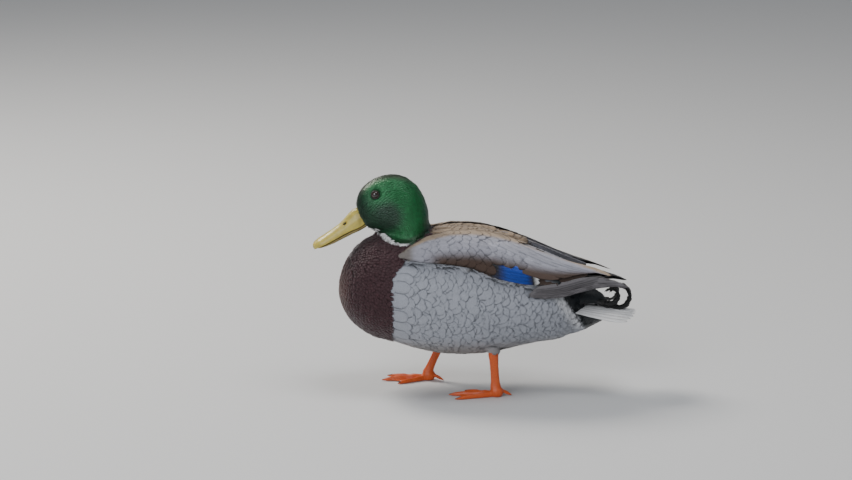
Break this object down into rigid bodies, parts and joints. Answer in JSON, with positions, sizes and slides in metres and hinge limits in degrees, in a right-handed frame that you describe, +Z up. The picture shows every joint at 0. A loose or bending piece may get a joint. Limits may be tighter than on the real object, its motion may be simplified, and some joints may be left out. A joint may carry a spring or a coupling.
{
  "type": "standing mallard drake, museum-style still model",
  "caption": "Life-size mallard drake standing with its head drawn in and its wings folded.",
  "frame": {"origin": "on the floor, under the middle of the bird's length and width", "axes": "+X towards the tail, +Y towards the bird's right side, +Z up"},
  "size_m": [0.366, 0.1404, 0.246],
  "materials": {
    "head_green": "satin",
    "breast_chestnut": "matt",
    "flank_grey": "matt",
    "belly_grey": "matt",
    "wing_grey": "matt",
    "quill_brown": "matt",
    "rump_black": "satin",
    "tail_white": "matt",
    "bill_yellow": "satin",
    "eye_brown": "gloss",
    "leg_orange": "satin"
  },
  "bodies": {
    "root": {"head": "head_green", "neck": "head_green", "breast": "breast_chestnut", "trunk": "flank_grey", "rump": "rump_black", "undertail": "rump_black", "tail": "tail_white", "bill_upper": "bill_yellow", "bill_lower": "bill_yellow", "eye_left": "eye_brown", "wing_left": "wing_grey", "primaries_left": "quill_brown", "thigh_left": "belly_grey", "tarsus_left": "leg_orange", "foot_left": "leg_orange", "curl_outer_left": "rump_black", "curl_inner_left": "rump_black", "eye_right": "eye_brown", "wing_right": "wing_grey", "primaries_right": "quill_brown", "thigh_right": "belly_grey", "tarsus_right": "leg_orange", "foot_right": "leg_orange", "curl_outer_right": "rump_black", "curl_inner_right": "rump_black"}
  },
  "joints": []
}
